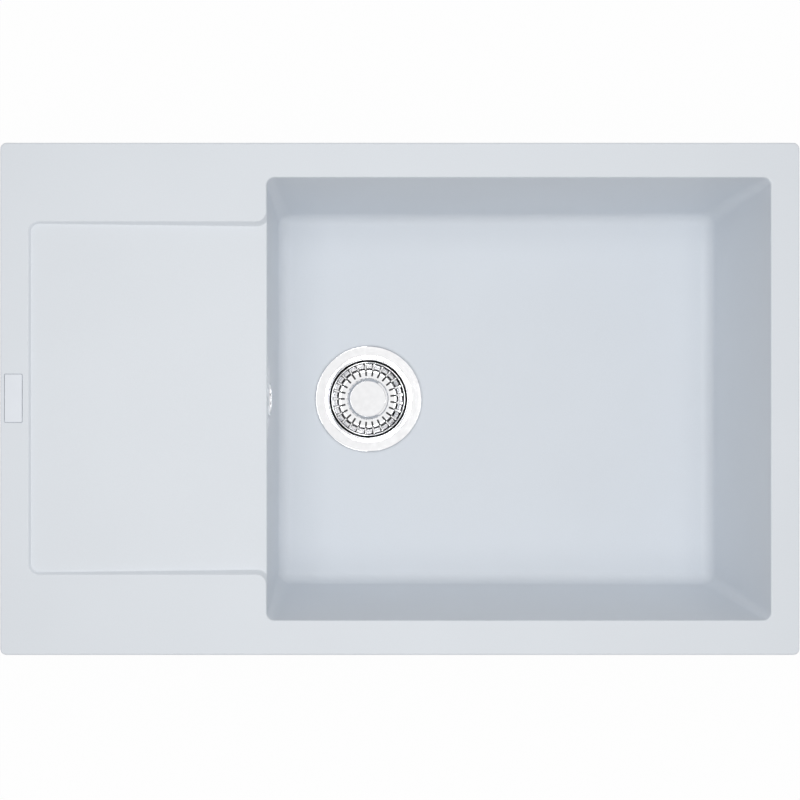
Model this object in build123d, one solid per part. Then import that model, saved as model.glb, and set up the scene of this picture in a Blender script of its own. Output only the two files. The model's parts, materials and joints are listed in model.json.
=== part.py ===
from build123d import *
from math import cos, radians, sin, tan
import os

# Inset kitchen sink with one bowl and a drainboard. Millimetres, +Z up.
# Origin: centre of the worktop cut-out, on the worktop's top face. Drainboard at -X, bowl at +X.

# Rim and plate
SINK_LENGTH = 780.0
SINK_WIDTH = 500.0
SINK_CORNER_R = 6.0
RIM_TOP = 8.0
RIM_EDGE_R = 1.8
LOCATOR_GAP = 12.0          # from the outer edge in to the part that drops into the cut-out
LOCATOR_DEPTH = 4.0
LOCATOR_CORNER_R = 13.0
GROOVE_INSET = 2.5          # seal groove, measured in from the outer edge
GROOVE_WIDTH = 5.0
GROOVE_DEPTH = 1.5

# Bowl
BOWL_X = 116.0
BOWL_LENGTH = 492.0
BOWL_WIDTH = 432.0
BOWL_CORNER_R = 7.5
FLOOR_CORNER_R = 14.5
FLOOR_FILLET_R = 13.0
BOWL_LIP_R = 1.5
UNDER_RIM_R = 5.0           # between the bowl's outside and the plate
FLOOR_Z = -192.0            # lowest point of the floor, at the drain
DISH_R = 15000.0            # the floor is part of this sphere, so it falls to the drain
LEAN_X = 5.0 / 182.0        # how far the end walls lean in for each millimetre of depth
LEAN_Y = 10.7 / 182.0
WALL = 8.0
FLOOR_THICKNESS = 10.0
UNDERSIDE_FILLET_R = 20.0

# Drainboard recess, given at the top of its sloping step
BOARD_LEFT = -362.3
BOARD_Y = 0.85              # the recess sits this far to the rear of the middle
BOARD_HALF_WIDTH = 172.3
BOARD_CORNER_R = 10.0
BOARD_FLARE_START = -140.0
BOARD_FLARE_R = 9.0
BOARD_FLARE_TURN = 65.0
BOARD_STEP_SLOPE = 60.0
BOARD_SHALLOW = 3.2         # depth at the left end
BOARD_DEEP = 7.0            # depth at the bowl
BOARD_EDGE_R = 1.2

# Drain
DRAIN_X = -24.0
DRAIN_HOLE_R = 45.0
SEAT_R = 60.5
SEAT_INNER_R = 49.0         # the seat ends here in a cone that leads into the hole
SEAT_DEPTH = 1.2
LEAD_IN = 5.2               # height of that cone
DRAIN_BOSS_R = 60.0
DRAIN_BOSS_Z = -204.0

# Strainer, heights below the flange's top
FLANGE_Z = -191.2
FLANGE_R = 59.0
FLANGE_FLAT_R = 48.5        # inner edge of the flat ring
FLANGE_BAND_R = 45.6        # inner edge of the lower band inside it
FLANGE_BAND_DEPTH = 0.5
FLANGE_BAND_FALL = 0.3
FLANGE_STEP_RUN = 0.4       # the step from the flat ring down to the band leans by this much
SHEET = 1.2
BAND_SHEET = 1.1            # thickness under the band
CONE_SHIFT_OUT = 0.9        # how far the cone's underside lies outside its top, level with the band
CONE_SHIFT_DOWN = 0.3       # and below it, at the throat
THROAT_R = 43.3
THROAT_TOP = 6.0            # where the cone inside the band turns down into the throat
STRAINER_DEPTH = 38.0
DISH_TOP_R = 12.5           # the small dish in the middle of the strainer's bottom
DISH_FLOOR_R = 9.0
HUB_DEPTH = 46.0
OPENING_R = 26.0
OPENING_INNER_R = 14.2
OPENING_BARS = 6
BAR_WIDTH = 4.0
WASTE_SCREW_R = 4.0
SCREW_CLEARANCE = 0.2       # radial, around screws and the stem where they pass through a sheet
SCREW_SOCKET_R = 4.075
SCREW_SOCKET_DEPTH = 5.0
SCREW_HEAD_R = 7.0
SCREW_HEAD_HEIGHT = 6.0
SCREW_REACH = 68.0
FLANGE_SEAL_INNER_R = 49.5
FLANGE_SEAL_R = 57.5
WASTE_GASKET_INNER_R = 46.0
WASTE_GASKET_R = 57.0

# Waste body, absolute heights
BODY_TOP = -207.0
BODY_FLANGE_R = 58.0
BODY_R = 52.0
BODY_BORE_R = 48.5
FUNNEL_TOP = -250.0
FUNNEL_END = -264.0
OUTLET_R = 23.9             # 1 1/2 inch pipe thread, outside
OUTLET_BORE_R = 20.0
OUTLET_END = -286.0
HUB_R = 10.0
HUB_END = -262.0
RIB_TOP = -244.0
RIB_THICKNESS = 3.0
INSERT_R = 7.0
INSERT_HEIGHT = 12.0

# Strainer basket, heights below the flange's top
BASKET_RIM = 7.0
BASKET_RIM_R = 41.3
BASKET_RIM_EDGE = 1.4       # height of the rim's outer edge
BASKET_MOUTH_R = 40.1
BASKET_FLOOR = 30.2
BASKET_SHEET = 0.8
BASKET_FLOOR_R = 33.4
SLOT_COUNT = 25
SLOT_WIDTH = 2.0
SLOT_START_R = 26.0
SLOT_END_R = 39.25
SLOT_TOP = 9.5
KNOB_R = 23.5
KNOB_TOP_R = 20.0           # the flat disc on the knob
KNOB_TOP = 20.0
KNOB_STEP = 0.5             # how far that disc stands above the bevel round it
KNOB_BEVEL_R = 22.3
KNOB_BEVEL_FALL = 0.9
KNOB_STEP_RUN = 0.2
KNOB_SHOULDER = 22.5        # top of the knob's upright edge
KNOB_EDGE = 0.8             # bevel at the edge's foot
KNOB_UNDERSIDE = 25.0
KNOB_FOOT_R = 13.0
KNOB_SOCKET = 23.0          # how high the stem reaches into the knob
STEM_TIP = 43.5
SEAL_TOP_R = 29.5
SEAL_LIP_R = 33.0
SEAL_LIP_INNER_R = 30.0
SEAL_SLOPE = 1.5            # fall from the seal's flat top to its rim
SEAL_WEB = 2.2
SEAL_GAP = 0.1
BASKET_WASHER_R = 19.0
BASKET_WASHER = 1.2
BASKET_NUT_ACROSS = 13.0
BASKET_NUT = 4.0

# Overflow, on the bowl's left wall
OVERFLOW_Z = -47.0
OVERFLOW_HOLE_R = 13.0
PAD_X = -140.5
PAD_R = 27.0
ROSETTE_SEAT_X = -129.6
ROSETTE_R = 16.0
ROSETTE_EDGE = 0.6          # its height at the edge
ROSETTE_DOME = 2.6          # and in the middle
ROSETTE_SHEET = 1.0
ROSETTE_HUB_R = 6.0
ROSETTE_SLOTS = 8
ROSETTE_SLOT_AT = 9.75      # radius of a slot's middle
ROSETTE_SLOT_LENGTH = 6.5
ROSETTE_SLOT_WIDTH = 3.2
GASKET_THICKNESS = 3.0
GASKET_R = 25.0
GASKET_HOLE_R = 14.0
HOUSING_FLANGE_R = 26.0
HOUSING_FLANGE = 4.0
CHAMBER_R = 20.0
CHAMBER_BORE_R = 16.5
CHAMBER_END_X = -180.0
CHAMBER_PILLAR_R = 5.5      # the pillar inside the chamber that takes the rosette's screw
CHAMBER_PILLAR_SHORT = 8.0  # how far that pillar stops short of the chamber's mouth
PLASTIC_WALL = 3.5
PIPE_X = -163.0
PIPE_Z = -231.0
PIPE_R = 12.5
PIPE_BORE_R = 10.5
PIPE_BEND_R = 32.0
PIPE_TOP = -75.0
PIPE_END_X = -87.0
SPIGOT_R = 16.0
SPIGOT_BORE_R = 13.0
UPPER_SPIGOT_END = -93.0
LOWER_SPIGOT_END_X = -98.0
NUT_R = 20.0
NUT_LENGTH = 20.5
NUT_LIP = 2.5
NUT_GRIPS = 10
GRIP_DEPTH = 1.2
GRIP_WIDTH = 4.0
RING_LENGTH = 5.0
PIPE_CLEARANCE = 0.3
OVERFLOW_SCREW_R = 2.4
OVERFLOW_SCREW_SHORT = 8.0  # how far the screw stops short of the chamber's end
OVERFLOW_HEAD_R = 4.5
CROSS_LENGTH = 4.4
CROSS_WIDTH = 0.9
CROSS_DEPTH = 1.1
SCREW_FIT = 0.05            # radial clearance of a screw that turns in its hole

# Bare plate in a pocket on the left rim
PLATE_X = -377.0
PLATE_Y = 0.6
PLATE_LENGTH = 16.9
PLATE_WIDTH = 46.7
POCKET_MARGIN = 0.6
POCKET_DEPTH = 2.0
POCKET_CORNER_R = 1.5
PLATE_THICKNESS = 2.3
PLATE_CORNER_R = 1.2
PLATE_EDGE_R = 0.3

# Tap hole knock-outs, blind from below
TAP_X = -172.0
TAP_Y = 208.0
TAP_R = 17.5
TAP_SKIN = 3.0

# Fixing clips under the rim
CLIP_XS = (-275.0, 25.0, 325.0)
CLIP_Y = 231.0
END_CLIP_X = -371.0
END_CLIP_Y = 110.0
BOSS_R = 7.0
BOSS_Z = -20.0
WEB_REACH = 11.0            # from a boss's middle in to the bowl's outside
DOWEL_R = 4.25
DOWEL_TOP = 1.8
DOWEL_FLANGE_R = 6.0
DOWEL_FLANGE = 1.5
DOWEL_BORE_TOP = 1.0
CLIP_SCREW_R = 2.4
CLIP_SCREW_TIP = -12.5
CLAW_Z = -52.5
CLAW_SHEET = 2.5
CLAW_REACH = 22.0
CLAW_HEEL = 6.5
CLAW_TIP_HEIGHT = 11.5
CLAW_HEEL_HEIGHT = 9.0
CLAW_WIDTH = 12.0
CLAW_HOLE_R = 2.8
CLAW_NOTCHES = (-3.0, 0.0, 3.0)
CLAW_NOTCH = 1.6
CLIP_WASHER_R = 6.5
CLIP_WASHER = 1.35
PLAY = 0.1                  # gap between clip pieces that turn on each other
CLIP_HEAD_ACROSS = 8.0
CLIP_HEAD_HEIGHT = 4.0
HEAD_SLOT_WIDTH = 1.2
HEAD_SLOT_DEPTH = 1.5


def rounded_block(length, width, radius, bottom, top, x=0.0, y=0.0):
    """An upright block with rounded corners."""
    outline = Plane.XY.offset(bottom) * Pos(x, y) * RectangleRounded(length, width, radius)
    return extrude(outline, top - bottom)


def upright(radius, bottom, top, x=0.0, y=0.0):
    """An upright cylinder between two heights."""
    return Pos(x, y, (bottom + top) / 2) * Cylinder(radius, top - bottom)


def lying(radius, left, right, z):
    """A cylinder along X between two places."""
    return Pos((left + right) / 2, 0, z) * Rot(0, 90, 0) * Cylinder(radius, right - left)


def turned(points, radii=0.0):
    """A solid turned about Z from (radius, height) points, with its profile's corners rounded."""
    outline = FilletPolyline(*points, radius=radii, close=True)
    return revolve(Plane.XZ * make_face(outline), Axis.Z)


def at_drain(solid):
    """Places a solid made about the drain's axis, with z = 0 at the flange's top."""
    return Pos(DRAIN_X, 0, FLANGE_Z) * solid


def clip_places():
    """Each clip's screw axis and the direction, in degrees, that points out under the worktop."""
    places = [(x, -CLIP_Y, 270.0) for x in CLIP_XS]
    places += [(x, CLIP_Y, 90.0) for x in CLIP_XS]
    places += [(END_CLIP_X, y, 180.0) for y in (-END_CLIP_Y, END_CLIP_Y)]
    return places


def bowl_section(z, grow):
    """The bowl's outline at one height, offset outwards."""
    depth = RIM_TOP - z
    share = depth / (RIM_TOP - FLOOR_Z)
    radius = BOWL_CORNER_R + (FLOOR_CORNER_R - BOWL_CORNER_R) * share + grow
    length = BOWL_LENGTH - 2 * LEAN_X * depth + 2 * grow
    width = BOWL_WIDTH - 2 * LEAN_Y * depth + 2 * grow
    return Plane.XY.offset(z) * Pos(BOWL_X, 0) * RectangleRounded(length, width, radius)


def bowl_form(top, grow, drop, fillet_r):
    """The leaning walls and the dished floor as one solid, rounded where they meet."""
    bottom = FLOOR_Z - drop - 2
    walls = loft([bowl_section(bottom, grow), bowl_section(top, grow)], ruled=True)
    ball = Pos(DRAIN_X, 0, FLOOR_Z - drop + DISH_R) * Rot(0, 90, 0) * Sphere(DISH_R)
    form = walls & ball
    floor = form.faces().sort_by(Axis.Z)[0]
    return fillet(floor.edges(), fillet_r)


def board_outline(shrink):
    """The drainboard recess's outline, running on into the bowl, moved inwards by an amount."""
    turn = radians(BOARD_FLARE_TURN)
    left = BOARD_LEFT + shrink
    half = BOARD_HALF_WIDTH - shrink
    corner_x = BOARD_LEFT + BOARD_CORNER_R
    corner_y = BOARD_HALF_WIDTH - BOARD_CORNER_R
    flare_r = BOARD_FLARE_R + shrink
    end_x = BOARD_FLARE_START + flare_r * sin(turn)
    end_y = BOARD_HALF_WIDTH + BOARD_FLARE_R - flare_r * cos(turn)
    out_x = BOWL_X - BOWL_LENGTH / 2 + 6
    out_y = end_y + (out_x - end_x) * tan(turn)
    rear = [
        Line((left, 0), (left, corner_y)),
        RadiusArc((left, corner_y), (corner_x, half), BOARD_CORNER_R - shrink),
        Line((corner_x, half), (BOARD_FLARE_START, half)),
        RadiusArc((BOARD_FLARE_START, half), (end_x, end_y), -flare_r),
        Line((end_x, end_y), (out_x, out_y)),
        Line((out_x, out_y), (out_x, 0)),
    ]
    rear_half = make_face(rear + [Line((out_x, 0), (left, 0))])
    return rear_half + mirror(rear_half, Plane.XZ)


def board_recess():
    """The space that the drainboard's recess takes out of the plate: sloping steps and a falling floor."""
    depth = BOARD_DEEP + 2
    shrink = depth / tan(radians(BOARD_STEP_SLOPE))
    top = Plane.XY.offset(RIM_TOP) * board_outline(0)
    bottom = Plane.XY.offset(RIM_TOP - depth) * board_outline(shrink)
    form = loft([bottom, top], ruled=True)
    bowl_left = BOWL_X - BOWL_LENGTH / 2
    fall = (BOARD_DEEP - BOARD_SHALLOW) / (bowl_left - BOARD_LEFT)
    left, right = BOARD_LEFT - 20, bowl_left + 40
    left_z = RIM_TOP - BOARD_SHALLOW - fall * (left - BOARD_LEFT)
    right_z = RIM_TOP - BOARD_SHALLOW - fall * (right - BOARD_LEFT)
    side = Polyline((left, left_z), (right, right_z), (right, RIM_TOP), (left, RIM_TOP), close=True)
    form &= extrude(Plane.XZ * make_face(side), SINK_WIDTH / 2, both=True)
    floor = form.faces().sort_by(Axis.Z)[0]
    return fillet(floor.edges().filter_by(lambda edge: edge.center().X < bowl_left), BOARD_EDGE_R)


def edges_inside(solid, low, high):
    """The edges that lie wholly inside a box."""
    def inside(edge):
        box = edge.bounding_box()
        return all(a <= b and c <= d for a, b, c, d in zip(low, box.min, box.max, high))
    return solid.edges().filter_by(inside)


def shell():
    """The plate, the bowl and the drainboard, with their edges rounded."""
    plate = rounded_block(SINK_LENGTH, SINK_WIDTH, SINK_CORNER_R, 0, RIM_TOP)
    plate = fillet(plate.faces().sort_by(Axis.Z)[-1].edges(), RIM_EDGE_R)
    locator_length = SINK_LENGTH - 2 * LOCATOR_GAP
    locator_width = SINK_WIDTH - 2 * LOCATOR_GAP
    plate += rounded_block(locator_length, locator_width, LOCATOR_CORNER_R, -LOCATOR_DEPTH, 1)
    body = plate + bowl_form(1, WALL, FLOOR_THICKNESS, UNDERSIDE_FILLET_R)
    near = 0.1
    left = BOWL_X - BOWL_LENGTH / 2
    right = BOWL_X + BOWL_LENGTH / 2
    side = BOWL_WIDTH / 2
    low = (left - WALL - near, -side - WALL - near, -LOCATOR_DEPTH - near)
    high = (right + WALL + near, side + WALL + near, -LOCATOR_DEPTH + near)
    body = fillet(edges_inside(body, low, high), UNDER_RIM_R)
    body -= bowl_form(RIM_TOP + 1, 0, 0, FLOOR_FILLET_R)
    body -= Pos(0, BOARD_Y) * board_recess()
    low = (left - near, -side - near, RIM_TOP - BOARD_DEEP - 1)
    high = (right + near, side + near, RIM_TOP + near)
    body = fillet(edges_inside(body, low, high), BOWL_LIP_R)
    half = BOARD_HALF_WIDTH + BOARD_FLARE_R + BOARD_Y + near
    low = (BOARD_LEFT - near, -half, RIM_TOP - near)
    high = (left - BOWL_LIP_R + near, half, RIM_TOP + near)
    return fillet(edges_inside(body, low, high), BOARD_EDGE_R)


def sink_body():
    """The casting: shell, clip bosses, drain seat, overflow hole, plate pocket and tap knock-outs."""
    body = shell()
    body += upright(DRAIN_BOSS_R, DRAIN_BOSS_Z, FLOOR_Z - 2, DRAIN_X)
    body += lying(PAD_R, PAD_X, PAD_X + WALL, OVERFLOW_Z)
    for x, y, _ in clip_places():
        body += upright(BOSS_R, BOSS_Z, 0, x, y)
        if x > BOWL_X - BOWL_LENGTH / 2:
            inwards = -1 if y > 0 else 1
            web = Box(2 * BOSS_R, WEB_REACH, -BOSS_Z)
            body += Pos(x, y + inwards * WEB_REACH / 2, BOSS_Z / 2) * web
    body -= upright(SEAT_R, FLOOR_Z - SEAT_DEPTH, FLOOR_Z + 5, DRAIN_X)
    body -= upright(DRAIN_HOLE_R, DRAIN_BOSS_Z - 1, FLOOR_Z, DRAIN_X)
    seat_z = FLOOR_Z - SEAT_DEPTH
    body -= Pos(DRAIN_X, 0, seat_z - LEAD_IN / 2) * Cone(DRAIN_HOLE_R, SEAT_INNER_R, LEAD_IN)
    body -= lying(OVERFLOW_HOLE_R, PAD_X - 1, PAD_X + 20, OVERFLOW_Z)
    body -= lying(ROSETTE_R + 0.5, ROSETTE_SEAT_X, ROSETTE_SEAT_X + 5, OVERFLOW_Z)
    body -= seal_strip()
    body -= rounded_block(
        PLATE_LENGTH + 2 * POCKET_MARGIN, PLATE_WIDTH + 2 * POCKET_MARGIN, POCKET_CORNER_R,
        RIM_TOP - POCKET_DEPTH, RIM_TOP + 1, PLATE_X, PLATE_Y,
    )
    for side in (-1, 1):
        body -= upright(TAP_R, -LOCATOR_DEPTH - 1, RIM_TOP - TAP_SKIN, TAP_X, side * TAP_Y)
    for x, y, _ in clip_places():
        body -= upright(DOWEL_R, BOSS_Z - 1, DOWEL_TOP, x, y)
    return body


def seal_strip():
    """The strip under the rim, flush with the worktop plane."""
    outer = rounded_block(
        SINK_LENGTH - 2 * GROOVE_INSET, SINK_WIDTH - 2 * GROOVE_INSET,
        SINK_CORNER_R - GROOVE_INSET, 0, GROOVE_DEPTH,
    )
    inset = GROOVE_INSET + GROOVE_WIDTH
    inner = rounded_block(SINK_LENGTH - 2 * inset, SINK_WIDTH - 2 * inset, 1.0, -1, GROOVE_DEPTH + 1)
    return outer - inner


def bare_plate():
    bottom = RIM_TOP - POCKET_DEPTH
    top = bottom + PLATE_THICKNESS
    plate = rounded_block(PLATE_LENGTH, PLATE_WIDTH, PLATE_CORNER_R, bottom, top, PLATE_X, PLATE_Y)
    return fillet(plate.faces().sort_by(Axis.Z)[-1].edges(), PLATE_EDGE_R)


def strainer_body():
    """The flange, the deep cup below it and the dished hub that its screw pulls on."""
    outer_wall = THROAT_R + SHEET
    hole = WASTE_SCREW_R + SCREW_CLEARANCE
    band_end = -FLANGE_BAND_DEPTH - FLANGE_BAND_FALL
    points = [
        (FLANGE_R, -SHEET), (FLANGE_R, 0), (FLANGE_FLAT_R, 0),
        (FLANGE_FLAT_R - FLANGE_STEP_RUN, -FLANGE_BAND_DEPTH), (FLANGE_BAND_R, band_end), (THROAT_R, -THROAT_TOP),
        (THROAT_R, -STRAINER_DEPTH), (DISH_TOP_R, -STRAINER_DEPTH), (DISH_FLOOR_R, -HUB_DEPTH),
        (hole, -HUB_DEPTH), (hole, -HUB_DEPTH - SHEET),
        (DISH_FLOOR_R + 1, -HUB_DEPTH - SHEET), (DISH_TOP_R + 1, -STRAINER_DEPTH - SHEET),
        (outer_wall, -STRAINER_DEPTH - SHEET), (outer_wall, -THROAT_TOP - CONE_SHIFT_DOWN),
        (FLANGE_BAND_R + CONE_SHIFT_OUT, band_end - BAND_SHEET),
        (FLANGE_FLAT_R - FLANGE_STEP_RUN, band_end - BAND_SHEET), (FLANGE_FLAT_R, -SHEET),
    ]
    radii = [0, 0.8, 0.3, 0.2, 0.4, 1.5, 4.0, 0.5, 0.5, 0, 0, 0.8, 0.8, 5.0, 1.5, 0.6, 0, 0]
    cup = turned(points, radii)
    openings = upright(OPENING_R, -STRAINER_DEPTH - 5, -STRAINER_DEPTH + 2)
    openings -= upright(OPENING_INNER_R, -STRAINER_DEPTH - 6, -STRAINER_DEPTH + 3)
    for i in range(OPENING_BARS // 2):
        openings -= Rot(0, 0, i * 360 / OPENING_BARS) * Pos(0, 0, -STRAINER_DEPTH) * Box(100, BAR_WIDTH, 20)
    return at_drain(cup - openings)


def ring(inner, outer, bottom, top):
    """A flat ring about the drain's axis."""
    return upright(outer, bottom, top, DRAIN_X) - upright(inner, bottom - 1, top + 1, DRAIN_X)


def flange_seal():
    return ring(FLANGE_SEAL_INNER_R, FLANGE_SEAL_R, FLOOR_Z - SEAT_DEPTH, FLANGE_Z - SHEET)


def waste_gasket():
    return ring(WASTE_GASKET_INNER_R, WASTE_GASKET_R, BODY_TOP, DRAIN_BOSS_Z)


def waste_body():
    """The plastic pot under the bowl, with its funnel, outlet, screw hub and overflow inlet."""
    outer = [
        (0, BODY_TOP), (BODY_FLANGE_R, BODY_TOP), (BODY_FLANGE_R, BODY_TOP - 4), (BODY_R, BODY_TOP - 4),
        (BODY_R, FUNNEL_TOP), (OUTLET_R, FUNNEL_END), (OUTLET_R, OUTLET_END), (0, OUTLET_END),
    ]
    inner = [
        (0, BODY_TOP + 1), (BODY_BORE_R, BODY_TOP + 1), (BODY_BORE_R, FUNNEL_TOP - 1),
        (OUTLET_BORE_R, FUNNEL_END - 1), (OUTLET_BORE_R, OUTLET_END - 1), (0, OUTLET_END - 1),
    ]
    envelope = turned(outer, [0, 1.0, 1.0, 1.5, 6.0, 1.0, 0.6, 0])
    hollow = turned(inner, [0, 0, 4.0, 2.0, 0, 0])
    pot = envelope - hollow
    hub = upright(HUB_R, HUB_END, FLANGE_Z - HUB_DEPTH - SHEET)
    for i in range(3):
        arm = Pos(BODY_BORE_R / 2, 0, (RIB_TOP + HUB_END) / 2)
        rib = arm * Box(BODY_BORE_R + 2, RIB_THICKNESS, RIB_TOP - HUB_END)
        hub += Rot(0, 0, 120 * i) * rib
    pot += hub & envelope
    pot -= upright(WASTE_SCREW_R + SCREW_CLEARANCE, HUB_END - 1, BODY_TOP)
    pot -= upright(INSERT_R, HUB_END - 1, HUB_END + INSERT_HEIGHT)
    pot = Pos(DRAIN_X, 0) * pot
    pot += lying(SPIGOT_R, LOWER_SPIGOT_END_X, DRAIN_X - BODY_R + 2, PIPE_Z)
    return pot - lying(SPIGOT_BORE_R, LOWER_SPIGOT_END_X - 1, DRAIN_X - BODY_R + 6, PIPE_Z)


def waste_insert():
    sleeve = upright(INSERT_R, HUB_END, HUB_END + INSERT_HEIGHT, DRAIN_X)
    return sleeve - upright(WASTE_SCREW_R, HUB_END - 1, HUB_END + INSERT_HEIGHT + 1, DRAIN_X)


def waste_screw():
    """The screw that clamps the strainer to the waste body; its head has a socket for the basket's stem."""
    head_top = -HUB_DEPTH + SCREW_HEAD_HEIGHT
    head = upright(SCREW_HEAD_R, -HUB_DEPTH, head_top)
    shank = upright(WASTE_SCREW_R, -SCREW_REACH, -HUB_DEPTH + 1)
    socket = upright(SCREW_SOCKET_R, head_top - SCREW_SOCKET_DEPTH, head_top + 1)
    return at_drain(head + shank - socket)


def basket_cup():
    """The strainer basket: floor, leaning wall, rim and radial slots."""
    under = -BASKET_FLOOR - BASKET_SHEET
    edge = -BASKET_RIM - BASKET_RIM_EDGE
    hole = WASTE_SCREW_R + SCREW_CLEARANCE
    points = [
        (hole, under), (BASKET_FLOOR_R + 0.6, under), (BASKET_MOUTH_R + BASKET_SHEET, edge),
        (BASKET_RIM_R, edge), (BASKET_RIM_R, -BASKET_RIM), (BASKET_MOUTH_R, -BASKET_RIM),
        (BASKET_MOUTH_R, edge), (BASKET_FLOOR_R, -BASKET_FLOOR), (hole, -BASKET_FLOOR),
    ]
    cup = turned(points, [0, 4.0, 0, 0.2, 0.55, 0.55, 0.8, 3.4, 0])
    slot_length = SLOT_END_R - SLOT_START_R
    slot_height = BASKET_FLOOR + 5 - SLOT_TOP
    middle_z = -SLOT_TOP - slot_height / 2
    slot = Pos(SLOT_START_R + slot_length / 2, 0, middle_z) * Box(slot_length, SLOT_WIDTH, slot_height)
    for i in range(SLOT_COUNT):
        cup -= Rot(0, 0, 180 + i * 360 / SLOT_COUNT) * slot
    return at_drain(cup)


def basket_knob():
    points = [
        (0, -BASKET_FLOOR), (KNOB_FOOT_R, -BASKET_FLOOR), (KNOB_FOOT_R + 2, -KNOB_UNDERSIDE - 1.5),
        (KNOB_R - KNOB_EDGE, -KNOB_UNDERSIDE), (KNOB_R, -KNOB_UNDERSIDE + KNOB_EDGE),
        (KNOB_R, -KNOB_SHOULDER), (KNOB_BEVEL_R, -KNOB_TOP - KNOB_STEP - KNOB_BEVEL_FALL),
        (KNOB_TOP_R + KNOB_STEP_RUN, -KNOB_TOP - KNOB_STEP), (KNOB_TOP_R, -KNOB_TOP), (0, -KNOB_TOP),
    ]
    knob = turned(points, [0, 0.5, 1.5, 0.3, 0.3, 0.4, 0.4, 0.15, 0.2, 0])
    return at_drain(knob - upright(WASTE_SCREW_R, -BASKET_FLOOR - 1, -KNOB_SOCKET))


def basket_stem():
    stem = upright(WASTE_SCREW_R, -STEM_TIP, -KNOB_SOCKET)
    return at_drain(chamfer(stem.faces().sort_by(Axis.Z)[0].edges(), 0.8))


def basket_seal():
    """A rubber disc whose lip closes the openings in the strainer's bottom."""
    top = -BASKET_FLOOR - BASKET_SHEET
    lip = -STRAINER_DEPTH + SEAL_GAP
    hole = WASTE_SCREW_R + SCREW_CLEARANCE
    points = [
        (hole, top), (SEAL_TOP_R, top), (SEAL_LIP_R, top - SEAL_SLOPE), (SEAL_LIP_R, lip),
        (SEAL_LIP_INNER_R, lip), (SEAL_LIP_INNER_R - 1, top - SEAL_WEB), (hole, top - SEAL_WEB),
    ]
    return at_drain(turned(points, [0, 1.0, 0.8, 0.4, 0.4, 1.0, 0]))


def basket_washer():
    top = -BASKET_FLOOR - BASKET_SHEET - SEAL_WEB
    bottom = top - BASKET_WASHER
    hole = upright(WASTE_SCREW_R + SCREW_CLEARANCE, bottom - 1, top + 1)
    return at_drain(upright(BASKET_WASHER_R, bottom, top) - hole)


def basket_nut():
    top = -BASKET_FLOOR - BASKET_SHEET - SEAL_WEB - BASKET_WASHER
    bottom = top - BASKET_NUT
    hexagon = RegularPolygon(BASKET_NUT_ACROSS / 2, 6, major_radius=False)
    nut = extrude(Plane.XY.offset(bottom) * hexagon, BASKET_NUT)
    return at_drain(nut - upright(WASTE_SCREW_R, bottom - 1, top + 1))


def at_overflow(solid):
    """Places a solid made about Z, with z = 0 on the rosette's seat, on the overflow's axis."""
    return Pos(ROSETTE_SEAT_X, 0, OVERFLOW_Z) * Rot(0, 90, 0) * solid


def overflow_rosette():
    """The domed cover of the overflow, slotted, with a countersunk hole for its screw."""
    hole = OVERFLOW_SCREW_R + SCREW_CLEARANCE
    sink_r = OVERFLOW_HEAD_R + SCREW_FIT
    middle_r = (ROSETTE_R + ROSETTE_HUB_R) / 2
    middle = ROSETTE_EDGE + 0.7 * (ROSETTE_DOME - ROSETTE_EDGE)
    points = [
        (hole, 0), (ROSETTE_HUB_R, 0), (ROSETTE_HUB_R, ROSETTE_DOME - ROSETTE_SHEET),
        (middle_r, middle - ROSETTE_SHEET), (ROSETTE_R - 1.5, 0), (ROSETTE_R, 0), (ROSETTE_R, ROSETTE_EDGE),
        (middle_r, middle), (ROSETTE_HUB_R, ROSETTE_DOME), (sink_r, ROSETTE_DOME),
        (hole, ROSETTE_DOME - sink_r + hole),
    ]
    cover = turned(points, [0, 0, 0.4, 15.0, 0, 0, 0.4, 15.0, 6.0, 0, 0])
    outline = SlotOverall(ROSETTE_SLOT_LENGTH, ROSETTE_SLOT_WIDTH)
    slot = Pos(ROSETTE_SLOT_AT, 0) * extrude(outline, 5, both=True)
    for i in range(ROSETTE_SLOTS):
        cover -= Rot(0, 0, (i + 0.5) * 360 / ROSETTE_SLOTS) * slot
    return at_overflow(cover)


def overflow_screw():
    """The countersunk screw that holds the rosette and the housing together."""
    end = CHAMBER_END_X + OVERFLOW_SCREW_SHORT - ROSETTE_SEAT_X
    neck = ROSETTE_DOME - OVERFLOW_HEAD_R + OVERFLOW_SCREW_R
    points = [
        (0, ROSETTE_DOME), (OVERFLOW_HEAD_R, ROSETTE_DOME), (OVERFLOW_SCREW_R, neck),
        (OVERFLOW_SCREW_R, end), (0, end),
    ]
    screw = turned(points, [0, 0.3, 0, 0.8, 0])
    for turn in (0, 90):
        screw -= Pos(0, 0, ROSETTE_DOME) * Rot(0, 0, turn) * Box(CROSS_LENGTH, CROSS_WIDTH, 2 * CROSS_DEPTH)
    return at_overflow(screw)


def overflow_gasket():
    left = PAD_X - GASKET_THICKNESS
    return lying(GASKET_R, left, PAD_X, OVERFLOW_Z) - lying(GASKET_HOLE_R, left - 1, PAD_X + 1, OVERFLOW_Z)


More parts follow.
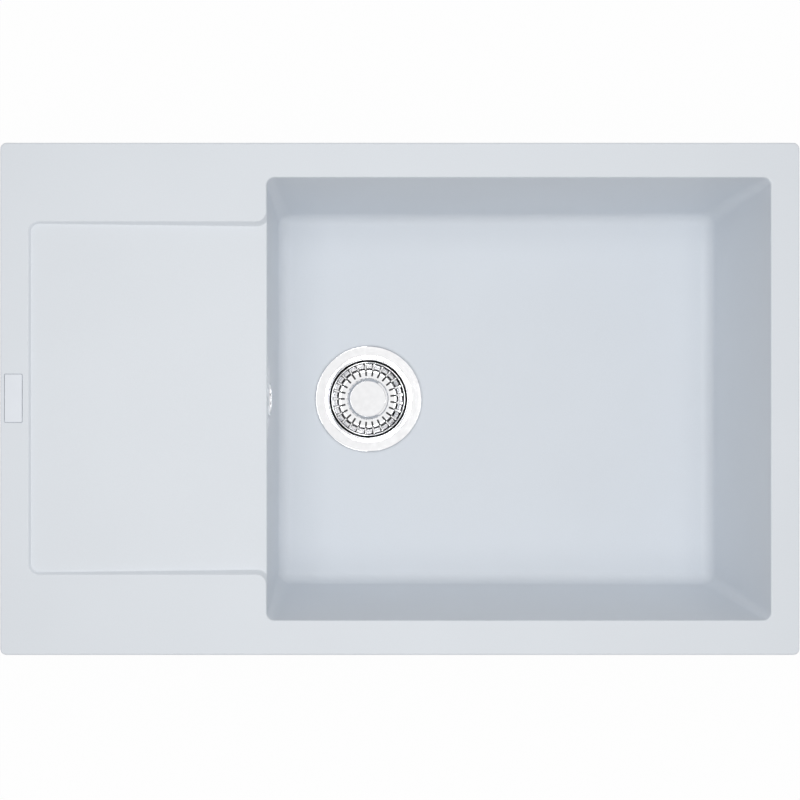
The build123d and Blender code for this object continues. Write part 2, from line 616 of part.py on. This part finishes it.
def overflow_housing():
    """The plastic chamber behind the overflow hole, with its outlet pointing down."""
    face = PAD_X - GASKET_THICKNESS
    housing = lying(HOUSING_FLANGE_R, face - HOUSING_FLANGE, face, OVERFLOW_Z)
    chamber = lying(CHAMBER_R, CHAMBER_END_X, face, OVERFLOW_Z)
    housing += fillet(chamber.faces().sort_by(Axis.X)[0].edges(), 4)
    housing += upright(SPIGOT_R, UPPER_SPIGOT_END, OVERFLOW_Z, PIPE_X)
    housing -= lying(CHAMBER_BORE_R, CHAMBER_END_X + PLASTIC_WALL, face + 1, OVERFLOW_Z)
    housing -= upright(SPIGOT_BORE_R, UPPER_SPIGOT_END - 1, OVERFLOW_Z, PIPE_X)
    housing += lying(CHAMBER_PILLAR_R, CHAMBER_END_X + 1, face - CHAMBER_PILLAR_SHORT, OVERFLOW_Z)
    bore = OVERFLOW_SCREW_R + SCREW_FIT
    return housing - lying(bore, CHAMBER_END_X + PLASTIC_WALL, face, OVERFLOW_Z)


def overflow_pipe():
    """One rigid tube: down behind the bowl, round a bend and into the waste body."""
    path = Plane.XZ * FilletPolyline(
        (PIPE_X, PIPE_TOP), (PIPE_X, PIPE_Z), (PIPE_END_X, PIPE_Z), radius=PIPE_BEND_R
    )
    start = Plane.XY.offset(PIPE_TOP) * Pos(PIPE_X, 0)
    return sweep(start * (Circle(PIPE_R) - Circle(PIPE_BORE_R)), path=path)


def compression_nut():
    """A gripped plastic nut about Z, with its lip at z = 0."""
    nut = upright(NUT_R, 0, NUT_LENGTH)
    nut = chamfer(nut.edges().sort_by(Axis.Z)[0], 1.5)
    grip = Pos(NUT_R, 0, NUT_LENGTH / 2 + 1) * Box(2 * GRIP_DEPTH, GRIP_WIDTH, NUT_LENGTH - 2)
    for i in range(NUT_GRIPS):
        nut += Rot(0, 0, i * 360 / NUT_GRIPS) * grip
    nut -= upright(PIPE_R + PIPE_CLEARANCE, -1, NUT_LIP + 1)
    return nut - upright(SPIGOT_R, NUT_LIP, NUT_LENGTH + 1)


def sealing_ring():
    """A rubber ring squeezed between a nut's lip and the end of a spigot."""
    top = NUT_LIP + RING_LENGTH
    return turned([(PIPE_R, NUT_LIP), (SPIGOT_R, NUT_LIP), (SPIGOT_R, top), (PIPE_R, top)], [0, 0.6, 0, 0])


def at_upper_joint(solid):
    """Places a joint piece made about Z at the foot of the overflow housing."""
    return Pos(PIPE_X, 0, UPPER_SPIGOT_END - NUT_LIP - RING_LENGTH) * solid


def at_lower_joint(solid):
    """Places a joint piece made about Z at the waste body's inlet."""
    return Pos(LOWER_SPIGOT_END_X - NUT_LIP - RING_LENGTH, 0, PIPE_Z) * Rot(0, 90, 0) * solid


def clip_dowels():
    """Plastic dowels pressed into the bosses, one for each clip."""
    dowels = []
    for x, y, _ in clip_places():
        dowel = upright(DOWEL_R, BOSS_Z - 1, DOWEL_TOP, x, y)
        dowel += upright(DOWEL_FLANGE_R, BOSS_Z - DOWEL_FLANGE, BOSS_Z, x, y)
        bore = upright(CLIP_SCREW_R + SCREW_FIT, BOSS_Z - DOWEL_FLANGE - 1, DOWEL_BORE_TOP, x, y)
        dowels.append((dowel - bore).solid())
    return Compound(dowels)


def clip_washer():
    top = CLAW_Z - PLAY
    bore = upright(CLIP_SCREW_R + SCREW_FIT, top - 5, top + 1)
    return upright(CLIP_WASHER_R, top - CLIP_WASHER, top) - bore


def clip_screw():
    top = CLAW_Z - 2 * PLAY - CLIP_WASHER
    bottom = top - CLIP_HEAD_HEIGHT
    hexagon = RegularPolygon(CLIP_HEAD_ACROSS / 2, 6, major_radius=False)
    head = extrude(Plane.XY.offset(bottom) * hexagon, CLIP_HEAD_HEIGHT)
    shank = upright(CLIP_SCREW_R, top - 1, CLIP_SCREW_TIP)
    shank = chamfer(shank.faces().sort_by(Axis.Z)[-1].edges(), 1.0)
    slot = Box(2 * CLIP_HEAD_ACROSS, HEAD_SLOT_WIDTH, 2 * HEAD_SLOT_DEPTH)
    return head + shank - Pos(0, 0, bottom) * slot


def clip_claw():
    """A bent strap about the screw's axis, reaching along +X, with a toothed tip that grips the worktop."""
    tip = CLAW_REACH - CLAW_SHEET
    heel = -CLAW_HEEL + CLAW_SHEET
    profile = FilletPolyline(
        (-CLAW_HEEL, 0), (CLAW_REACH, 0), (CLAW_REACH, CLAW_TIP_HEIGHT), (tip, CLAW_TIP_HEIGHT),
        (tip, CLAW_SHEET), (heel, CLAW_SHEET), (heel, CLAW_HEEL_HEIGHT), (-CLAW_HEEL, CLAW_HEEL_HEIGHT),
        radius=[2.5, 2.5, 0, 0, 1.0, 0.8, 0, 0],
        close=True,
    )
    claw = extrude(Plane.XZ * make_face(profile), CLAW_WIDTH / 2, both=True)
    claw -= upright(CLAW_HOLE_R, -1, CLAW_SHEET + 1)
    notch = Rot(45, 0, 0) * Box(4 * CLAW_SHEET, CLAW_NOTCH, CLAW_NOTCH)
    for y in CLAW_NOTCHES:
        claw -= Pos(CLAW_REACH, y, CLAW_TIP_HEIGHT) * notch
    return Pos(0, 0, CLAW_Z) * claw


def build_nodes():
    nodes = {
        "sink_body": sink_body(),
        "rim_seal": seal_strip(),
        "badge_plate": bare_plate(),
        "strainer_flange": strainer_body(),
        "flange_seal": flange_seal(),
        "waste_gasket": waste_gasket(),
        "waste_body": waste_body(),
        "waste_insert": waste_insert(),
        "waste_screw": waste_screw(),
        "basket_cup": basket_cup(),
        "basket_knob": basket_knob(),
        "basket_stem": basket_stem(),
        "basket_seal": basket_seal(),
        "basket_washer": basket_washer(),
        "basket_nut": basket_nut(),
        "overflow_rosette": overflow_rosette(),
        "overflow_screw": overflow_screw(),
        "overflow_gasket": overflow_gasket(),
        "overflow_housing": overflow_housing(),
        "overflow_pipe": overflow_pipe(),
        "overflow_upper_nut": at_upper_joint(compression_nut()),
        "overflow_upper_ring": at_upper_joint(sealing_ring()),
        "overflow_lower_nut": at_lower_joint(compression_nut()),
        "overflow_lower_ring": at_lower_joint(sealing_ring()),
        "clip_dowels": clip_dowels(),
    }
    for number, (x, y, outward) in enumerate(clip_places(), start=1):
        place = Pos(x, y)
        nodes[f"clip_washer_{number}"] = place * clip_washer()
        nodes[f"clip_screw_{number}"] = place * clip_screw()
        nodes[f"clip_claw_{number}"] = place * Rot(0, 0, outward - 90) * clip_claw()
    return nodes


if __name__ == "__main__":
    os.makedirs("parts", exist_ok=True)
    for name, shape in build_nodes().items():
        export_step(shape, f"parts/{name}.step")
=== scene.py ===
import json
import math

import bmesh
import bpy
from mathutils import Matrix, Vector


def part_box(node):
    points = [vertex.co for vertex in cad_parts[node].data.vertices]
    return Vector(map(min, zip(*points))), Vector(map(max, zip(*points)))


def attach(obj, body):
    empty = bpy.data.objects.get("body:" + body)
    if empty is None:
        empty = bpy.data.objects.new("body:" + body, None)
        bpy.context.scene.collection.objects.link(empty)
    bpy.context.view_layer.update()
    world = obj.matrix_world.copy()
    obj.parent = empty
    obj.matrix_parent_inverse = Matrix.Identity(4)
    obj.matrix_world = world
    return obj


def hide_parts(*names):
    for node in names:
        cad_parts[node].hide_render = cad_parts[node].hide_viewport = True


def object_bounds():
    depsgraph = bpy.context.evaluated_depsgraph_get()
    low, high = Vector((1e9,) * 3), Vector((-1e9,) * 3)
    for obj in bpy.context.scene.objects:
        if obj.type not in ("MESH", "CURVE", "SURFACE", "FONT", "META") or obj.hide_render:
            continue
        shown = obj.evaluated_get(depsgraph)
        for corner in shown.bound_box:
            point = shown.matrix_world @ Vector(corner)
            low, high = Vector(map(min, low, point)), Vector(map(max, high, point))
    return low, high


# A white cast kitchen sink with a bowl and a drainboard, seen from straight above.
# Metres, in the same frame as the model: worktop plane at z = 0, drainboard at -X, bowl at +X.

# Camera
CAMERA_X = -0.077
CAMERA_Z = 1.408
SENSOR_MM = 36.0
LENS_MM = 64.6
SHIFT_X = 0.0988
SHIFT_Y = -0.0014
CLIP_END = 50.0

# Light
LAMP_OUT = 0.52             # four lamps stand this far from the z axis
LAMP_Z = 2.0
LAMP_SIZE = 0.5
LAMP_POWER = 5.0            # of each
AMBIENT = 0.42
FLOOR_SIZE = 12.0
FLOOR_WHITE = 0.97          # share of plain white in what camera, steel and glass see of the floor
FLOOR_GREY = 0.88           # the floor's colour under the lamps
FLOOR_ROUGHNESS = 0.9
FLOOR_GAP = 0.0002          # between the lowest point of the object and the floor

# Places that the materials turn about
DRAIN_X = -0.024
OVERFLOW_Z = -0.047

# Threads
SIDES = 48
CLIPS = 8
CLIP_LEAD = 0.0016
CLIP_THREAD_ROOT = 0.0019
CLIP_THREAD_CREST = 0.0024
CLIP_TIP_LENGTH = 0.001
CLIP_HEAD_HEIGHT = 0.004
OUTLET_LEAD = 0.00231
OUTLET_ROOT = 0.0226
OUTLET_CREST = 0.0239
OUTLET_BORE = 0.020
OUTLET_PLAIN_END = 0.0012   # plain stretch at the foot of the outlet
OUTLET_THREAD_TOP = 0.0195
CLIP_STEPS = 8              # rings of points for each turn of the thread
OUTLET_STEPS = 10
RIDGE_STEEPNESS = 1.25      # flattens the crest and the groove of a thread
RIDGE_FLAT = 0.125
CUT_ABOVE = 0.00005         # where the plain shank is cut off, above the head
SHANK_OVERLAP = 0.0001      # how far inside the head the threaded shank starts

# Sizes of the materials' features
STONE_GRAIN = 0.0009
STONE_SKIN = 0.0016
STONE_CLOUD = 0.12
STEEL_RING = 0.00035
STEEL_RING_TURN = 0.0006    # how fast a ring changes along its way round
STEEL_WEAR = 0.006
PRESSED_MOTTLE = 0.0025
PRESSED_FINE = 0.0004
BRASS_MOTTLE = 0.002
MOULDED_TONE = 0.02
NOISE_LOW = 0.3             # most of a noise's values lie between these two
NOISE_HIGH = 0.7

# Roughness, as a range from low to high or as its middle
STONE_ROUGH = (0.42, 0.52)
PRESSED_ROUGH = (0.24, 0.40)
BRASS_ROUGH = (0.25, 0.38)
POLISHED_ROUGH = 0.07
ROSETTE_ROUGH = 0.28
STEEL_VARIES = 0.02         # what the rings and the wear each change in polished steel
MOULDED_SMOOTHER = 0.05
MOULDED_ROUGHER = 0.07

# Colours, linear
STONE = (0.780, 0.817, 0.862)
PLATE = (0.800, 0.835, 0.890)
STEEL = (0.84, 0.84, 0.85)
PLAIN_STEEL = (0.62, 0.62, 0.63)
BRASS = (0.72, 0.50, 0.22)
RUBBER = (0.018, 0.018, 0.019)
FOAM = (0.14, 0.145, 0.155)
PLASTIC_WHITE = (0.80, 0.80, 0.78)
PLASTIC_GREY = (0.27, 0.29, 0.31)


class Nodes:
    """A material's node tree with short calls to add to it."""

    def __init__(self, name):
        self.material = bpy.data.materials.new(name)
        self.material.use_nodes = True
        self.tree = self.material.node_tree
        self.shader = self.tree.nodes["Principled BSDF"]

    def add(self, kind, **settings):
        node = self.tree.nodes.new(kind)
        for key, value in settings.items():
            setattr(node, key, value)
        return node

    def link(self, source, target):
        self.tree.links.new(source, target)

    def place(self):
        """The point on the object, in metres."""
        return self.add("ShaderNodeTexCoord").outputs["Object"]

    def math(self, operation, first, second=0.0, third=0.0):
        node = self.add("ShaderNodeMath", operation=operation)
        for socket, value in zip(node.inputs, (first, second, third)):
            if isinstance(value, (int, float)):
                socket.default_value = value
            else:
                self.link(value, socket)
        return node.outputs[0]

    def noise(self, where, size, detail=2.0, roughness=0.5):
        """A noise whose features are about size metres across, as a value round 0.5."""
        node = self.add("ShaderNodeTexNoise")
        node.inputs["Scale"].default_value = 1.0 / size
        node.inputs["Detail"].default_value = detail
        node.inputs["Roughness"].default_value = roughness
        self.link(where, node.inputs["Vector"])
        return node.outputs["Fac"]

    def spread(self, value, low, high):
        """Maps a value round 0.5 to the range from low to high."""
        node = self.add("ShaderNodeMapRange")
        node.inputs["From Min"].default_value = NOISE_LOW
        node.inputs["From Max"].default_value = NOISE_HIGH
        node.inputs["To Min"].default_value = low
        node.inputs["To Max"].default_value = high
        self.link(value, node.inputs["Value"])
        return node.outputs["Result"]

    def shade(self, colour, value, share):
        """A colour that a value round 0.5 makes lighter or darker by a share."""
        node = self.add("ShaderNodeMix", data_type="RGBA")
        dark = [c * (1 - share) for c in colour]
        light = [min(c * (1 + share), 1.0) for c in colour]
        node.inputs["A"].default_value = (*dark, 1)
        node.inputs["B"].default_value = (*light, 1)
        self.link(self.spread(value, 0.0, 1.0), node.inputs["Factor"])
        return node.outputs["Result"]

    def bump(self, height, depth, strength=1.0, under=None):
        """A bump of a height between 0 and 1 that stands for depth metres."""
        node = self.add("ShaderNodeBump")
        node.inputs["Strength"].default_value = strength
        node.inputs["Distance"].default_value = depth
        self.link(height, node.inputs["Height"])
        if under is not None:
            self.link(under, node.inputs["Normal"])
        return node.outputs["Normal"]

    def set(self, **values):
        """Links or sets the shader's sockets, with _ for a space in their names."""
        for key, value in values.items():
            socket = self.shader.inputs[key.replace("_", " ")]
            if isinstance(value, (int, float, tuple)):
                socket.default_value = value
            else:
                self.link(value, socket)


def stone():
    """Cast composite: white acrylic filled with fine quartz, matte, with a faint grain."""
    m = Nodes("cast_white")
    where = m.place()
    grain = m.noise(where, STONE_GRAIN, detail=3.0, roughness=0.6)
    cloud = m.noise(where, STONE_CLOUD, detail=2.0)
    both = m.math("MULTIPLY_ADD", cloud, 0.35, m.math("MULTIPLY", grain, 0.65))
    skin = m.noise(where, STONE_SKIN, detail=2.0)
    m.set(
        Base_Color=m.shade(STONE, both, share=0.022),
        Roughness=m.spread(skin, *STONE_ROUGH),
        Normal=m.bump(
            grain, depth=0.00003, strength=0.5, under=m.bump(skin, depth=0.00005, strength=0.6),
        ),
        Specular_IOR_Level=0.42,
    )
    return m.material


def turned_steel(name, centre, along, colour, rough):
    """Polished sheet steel with the faint rings that turning leaves about an axis."""
    m = Nodes(name)
    shift = m.add("ShaderNodeVectorMath", operation="SUBTRACT")
    shift.inputs[1].default_value = centre
    m.link(m.place(), shift.inputs[0])
    split = m.add("ShaderNodeSeparateXYZ")
    m.link(shift.outputs[0], split.inputs[0])
    names = [n for n in "XYZ" if n != along]
    first, second = (split.outputs[n] for n in names)
    squares = [m.math("MULTIPLY", value, value) for value in (first, second)]
    radius = m.math("SQRT", m.math("ADD", *squares))
    turn = m.math("ARCTAN2", second, first)
    join = m.add("ShaderNodeCombineXYZ")
    m.link(radius, join.inputs["X"])
    m.link(m.math("MULTIPLY", turn, STEEL_RING_TURN), join.inputs["Y"])
    m.link(split.outputs[along], join.inputs["Z"])
    rings = m.noise(join.outputs[0], STEEL_RING, detail=3.0)
    wear = m.noise(shift.outputs[0], STEEL_WEAR, detail=4.0)
    m.set(
        Base_Color=m.shade(colour, wear, share=0.02),
        Metallic=1.0,
        Roughness=m.math(
            "ADD",
            m.spread(rings, rough - STEEL_VARIES, rough + STEEL_VARIES),
            m.spread(wear, 0.0, STEEL_VARIES),
        ),
        Normal=m.bump(rings, depth=0.00001, strength=0.15),
    )
    return m.material


def plain_steel():
    """Pressed and plated steel, with a dull, slightly mottled face."""
    m = Nodes("steel_plain")
    where = m.place()
    mottle = m.noise(where, PRESSED_MOTTLE, detail=4.0)
    fine = m.noise(where, PRESSED_FINE, detail=2.0)
    m.set(
        Base_Color=m.shade(PLAIN_STEEL, mottle, share=0.07),
        Metallic=1.0,
        Roughness=m.spread(mottle, *PRESSED_ROUGH),
        Normal=m.bump(fine, depth=0.00002, strength=0.4),
    )
    return m.material


def brass():
    """The turned brass of the threaded insert."""
    m = Nodes("brass_insert")
    where = m.place()
    mottle = m.noise(where, BRASS_MOTTLE, detail=3.0)
    m.set(
        Base_Color=m.shade(BRASS, mottle, share=0.06),
        Metallic=1.0,
        Roughness=m.spread(mottle, *BRASS_ROUGH),
    )
    return m.material


def moulded(name, colour, rough, grain, variation=0.03):
    """Moulded plastic or rubber: a fine eroded face and a slow change of tone."""
    m = Nodes(name)
    where = m.place()
    fine = m.noise(where, grain, detail=3.0)
    slow = m.noise(where, MOULDED_TONE, detail=2.0)
    m.set(
        Base_Color=m.shade(colour, slow, variation),
        Roughness=m.spread(fine, rough - MOULDED_SMOOTHER, rough + MOULDED_ROUGHER),
        Normal=m.bump(fine, depth=grain / 20, strength=0.6),
    )
    return m.material


def paint(node, material):
    """Gives a carried-over node's object its material in every slot."""
    mesh = frame["nodes"][node].data
    mesh.materials.clear()
    mesh.materials.append(material)


def turned_surface(centre, levels, radius):
    """Points and faces of a tube about an upright axis.

    radius(angle share, height) gives its shape.
    """
    points = []
    for z in levels:
        for i in range(SIDES):
            angle = 2 * math.pi * i / SIDES
            r = radius(i / SIDES, z)
            x = centre[0] + r * math.cos(angle)
            y = centre[1] + r * math.sin(angle)
            points.append((x, y, z))
    faces = []
    for j in range(len(levels) - 1):
        low, high = j * SIDES, (j + 1) * SIDES
        for i in range(SIDES):
            k = (i + 1) % SIDES
            faces.append((low + i, low + k, high + k, high + i))
    return points, faces


def heights(bottom, top, step):
    """Even heights from bottom to top, about a step apart."""
    count = round((top - bottom) / step)
    return [bottom + (top - bottom) * j / count for j in range(count + 1)]


def ridge(share, z, start, lead):
    """How high the thread stands at a point, from 0 in the groove to 1 on the crest."""
    phase = ((z - start) / lead - share) % 1.0
    return min(1.0, max(0.0, RIDGE_STEEPNESS * abs(2 * phase - 1) - RIDGE_FLAT))


def cut_copy(node, planes):
    """A copy of a node's mesh with the parts outside each (height, side) plane cut away."""
    work = bmesh.new()
    work.from_mesh(frame["nodes"][node].data)
    for height, side in planes:
        bmesh.ops.bisect_plane(
            work, geom=work.verts[:] + work.edges[:] + work.faces[:], plane_co=(0, 0, height),
            plane_no=(0, 0, side), clear_outer=True,
        )
    return work


def add_surface(work, points, faces):
    """Adds smooth faces to the mesh and returns their corners."""
    corners = [work.verts.new(point) for point in points]
    for face in faces:
        work.faces.new([corners[i] for i in face]).smooth = True
    return corners


def finish_piece(work, name, body, node, slot):
    """Makes a piece of the mesh, which stands for a node and rides on its body."""
    mesh = bpy.data.meshes.new(name)
    work.to_mesh(mesh)
    work.free()
    mesh.materials.clear()
    mesh.materials.append(materials[slot])
    piece = bpy.data.objects.new(name, mesh)
    bpy.context.scene.collection.objects.link(piece)
    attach(piece, body)
    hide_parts(node)


def threaded_clip_screw(number):
    """The clip's screw with its head as in the frame and a real thread on its shank."""
    node = f"clip_screw_{number}"
    low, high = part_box(node)
    centre = ((low.x + high.x) / 2, (low.y + high.y) / 2)
    head_top = low.z + CLIP_HEAD_HEIGHT
    work = cut_copy(node, [(head_top + CUT_ABOVE, 1)])
    start = head_top - SHANK_OVERLAP
    tip = high.z - CLIP_TIP_LENGTH

    def radius(share, z):
        root = CLIP_THREAD_ROOT
        crest = root + (CLIP_THREAD_CREST - root) * ridge(share, z, start, CLIP_LEAD)
        return crest if z <= tip else min(crest, CLIP_THREAD_CREST - (z - tip))

    levels = heights(start, high.z, CLIP_LEAD / CLIP_STEPS)
    points, faces = turned_surface(centre, levels, radius)
    corners = add_surface(work, points, faces)
    work.faces.new(corners[-SIDES:])
    finish_piece(work, f"screw_{number}_threaded", f"clip_{number}_screw", node, "steel_plain")


def threaded_waste():
    """The waste body with the thread on its outlet that takes the trap's nut."""
    centre = (DRAIN_X, 0.0)
    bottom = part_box("waste_body")[0].z
    low = bottom + OUTLET_PLAIN_END
    high = bottom + OUTLET_THREAD_TOP
    work = cut_copy("waste_body", [(high, -1)])
    lower = cut_copy("waste_body", [(low, 1)])
    spare = bpy.data.meshes.new("spare")
    lower.to_mesh(spare)
    lower.free()
    work.from_mesh(spare)
    bpy.data.meshes.remove(spare)

    def outside(share, z):
        fade = min(1.0, (z - low) / OUTLET_LEAD, (high - z) / OUTLET_LEAD)
        groove = (1 - ridge(share, z, low, OUTLET_LEAD)) * fade
        return OUTLET_CREST - (OUTLET_CREST - OUTLET_ROOT) * groove

    levels = heights(low, high, OUTLET_LEAD / OUTLET_STEPS)
    add_surface(work, *turned_surface(centre, levels, outside))
    points, faces = turned_surface(centre, [low, high], lambda share, z: OUTLET_BORE)
    add_surface(work, points, [face[::-1] for face in faces])
    finish_piece(work, "waste_threaded", "sink", "waste_body", "plastic_white")


def area(name, place, size, power):
    """A square lamp that faces the origin."""
    lamp = bpy.data.lights.new(name, "AREA")
    lamp.size = size
    lamp.energy = power
    lamp_object = bpy.data.objects.new(name, lamp)
    lamp_object.location = place
    lamp_object.rotation_euler = (-Vector(place)).to_track_quat("-Z", "Y").to_euler()
    lamp_object.visible_camera = False
    bpy.context.scene.collection.objects.link(lamp_object)


def seen_directly(tree):
    """1 for rays that come from the camera, a mirror or glass, else 0."""
    path = tree.nodes.new("ShaderNodeLightPath")
    total = path.outputs["Is Camera Ray"]
    for name in ("Is Glossy Ray", "Is Transmission Ray"):
        larger = tree.nodes.new("ShaderNodeMath")
        larger.operation = "MAXIMUM"
        tree.links.new(total, larger.inputs[0])
        tree.links.new(path.outputs[name], larger.inputs[1])
        total = larger.outputs[0]
    return total


def surroundings():
    """An even pale light from everywhere, which the camera and the steel see as white."""
    world = bpy.data.worlds.new("studio")
    world.use_nodes = True
    tree = world.node_tree
    back = tree.nodes["Background"]
    back.inputs["Color"].default_value = (1, 1, 1, 1)
    strength = tree.nodes.new("ShaderNodeMapRange")
    strength.inputs["To Min"].default_value = AMBIENT
    strength.inputs["To Max"].default_value = 1.0
    tree.links.new(seen_directly(tree), strength.inputs["Value"])
    tree.links.new(strength.outputs["Result"], back.inputs["Strength"])
    bpy.context.scene.world = world


def floor(height):
    """A plain pale floor that keeps a faint shadow, and that a view from below looks through."""
    half = FLOOR_SIZE / 2
    mesh = bpy.data.meshes.new("floor")
    corners = [
        (-half, -half, height), (half, -half, height), (half, half, height), (-half, half, height),
    ]
    mesh.from_pydata(corners, [], [(0, 1, 2, 3)])
    ground = bpy.data.objects.new("floor", mesh)
    bpy.context.scene.collection.objects.link(ground)
    m = Nodes("floor_white")
    m.set(Base_Color=(FLOOR_GREY, FLOOR_GREY, FLOOR_GREY, 1), Roughness=FLOOR_ROUGHNESS)
    white = m.add("ShaderNodeEmission")
    blend = m.add("ShaderNodeMixShader")
    m.link(m.math("MULTIPLY", seen_directly(m.tree), FLOOR_WHITE), blend.inputs[0])
    m.link(m.shader.outputs[0], blend.inputs[1])
    m.link(white.outputs[0], blend.inputs[2])
    side = m.add("ShaderNodeMixShader")
    m.link(m.add("ShaderNodeNewGeometry").outputs["Backfacing"], side.inputs[0])
    m.link(blend.outputs[0], side.inputs[1])
    m.link(m.add("ShaderNodeBsdfTransparent").outputs[0], side.inputs[2])
    m.link(side.outputs[0], m.tree.nodes["Material Output"].inputs["Surface"])
    mesh.materials.append(m.material)


def camera():
    """The photo's camera, which looks straight down beside the drain."""
    data = bpy.data.cameras.new("camera")
    data.sensor_width = SENSOR_MM
    data.lens = LENS_MM
    data.shift_x = SHIFT_X
    data.shift_y = SHIFT_Y
    data.clip_end = CLIP_END
    eye = bpy.data.objects.new("camera", data)
    eye.location = (CAMERA_X, 0.0, CAMERA_Z)
    bpy.context.scene.collection.objects.link(eye)
    bpy.context.scene.camera = eye


def finishes():
    """The material of each slot in the record."""
    drain = (DRAIN_X, 0.0, 0.0)
    return {
        "cast_white": stone(),
        "plate_white": moulded("plate_white", PLATE, rough=0.36, grain=0.0008, variation=0.015),
        "steel_polished": turned_steel("steel_polished", drain, "Z", STEEL, POLISHED_ROUGH),
        "steel_plain": plain_steel(),
        "rubber_black": moulded("rubber_black", RUBBER, rough=0.62, grain=0.0006, variation=0.10),
        "foam_grey": moulded("foam_grey", FOAM, rough=0.85, grain=0.0012, variation=0.12),
        "plastic_white": moulded("plastic_white", PLASTIC_WHITE, rough=0.45, grain=0.0009),
        "plastic_grey": moulded("plastic_grey", PLASTIC_GREY, rough=0.5, grain=0.0009),
        "brass_insert": brass(),
    }


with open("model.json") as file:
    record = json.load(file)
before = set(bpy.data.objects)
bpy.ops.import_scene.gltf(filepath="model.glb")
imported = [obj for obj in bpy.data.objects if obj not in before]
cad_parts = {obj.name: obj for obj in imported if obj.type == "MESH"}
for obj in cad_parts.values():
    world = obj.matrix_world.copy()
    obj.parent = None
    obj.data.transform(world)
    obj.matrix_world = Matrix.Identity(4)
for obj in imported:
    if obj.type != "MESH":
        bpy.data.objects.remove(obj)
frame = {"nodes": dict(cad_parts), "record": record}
cad_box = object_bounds()
slots = {part["node"]: part["material_slot"] for part in frame["record"]["subparts"]}
materials = finishes()
for node, name in slots.items():
    paint(node, materials[name])
overflow = (0.0, 0.0, OVERFLOW_Z)
paint("overflow_rosette", turned_steel("steel_rosette", overflow, "X", STEEL, ROSETTE_ROUGH))

for number in range(1, CLIPS + 1):
    threaded_clip_screw(number)
threaded_waste()

surroundings()
for name, x, y in (("right", 1, 0), ("rear", 0, 1), ("left", -1, 0), ("front", 0, -1)):
    area(f"lamp_{name}", (x * LAMP_OUT, y * LAMP_OUT, LAMP_Z), LAMP_SIZE, LAMP_POWER)
floor(cad_box[0][2] - FLOOR_GAP)
camera()
bpy.context.scene.view_settings.view_transform = "Standard"
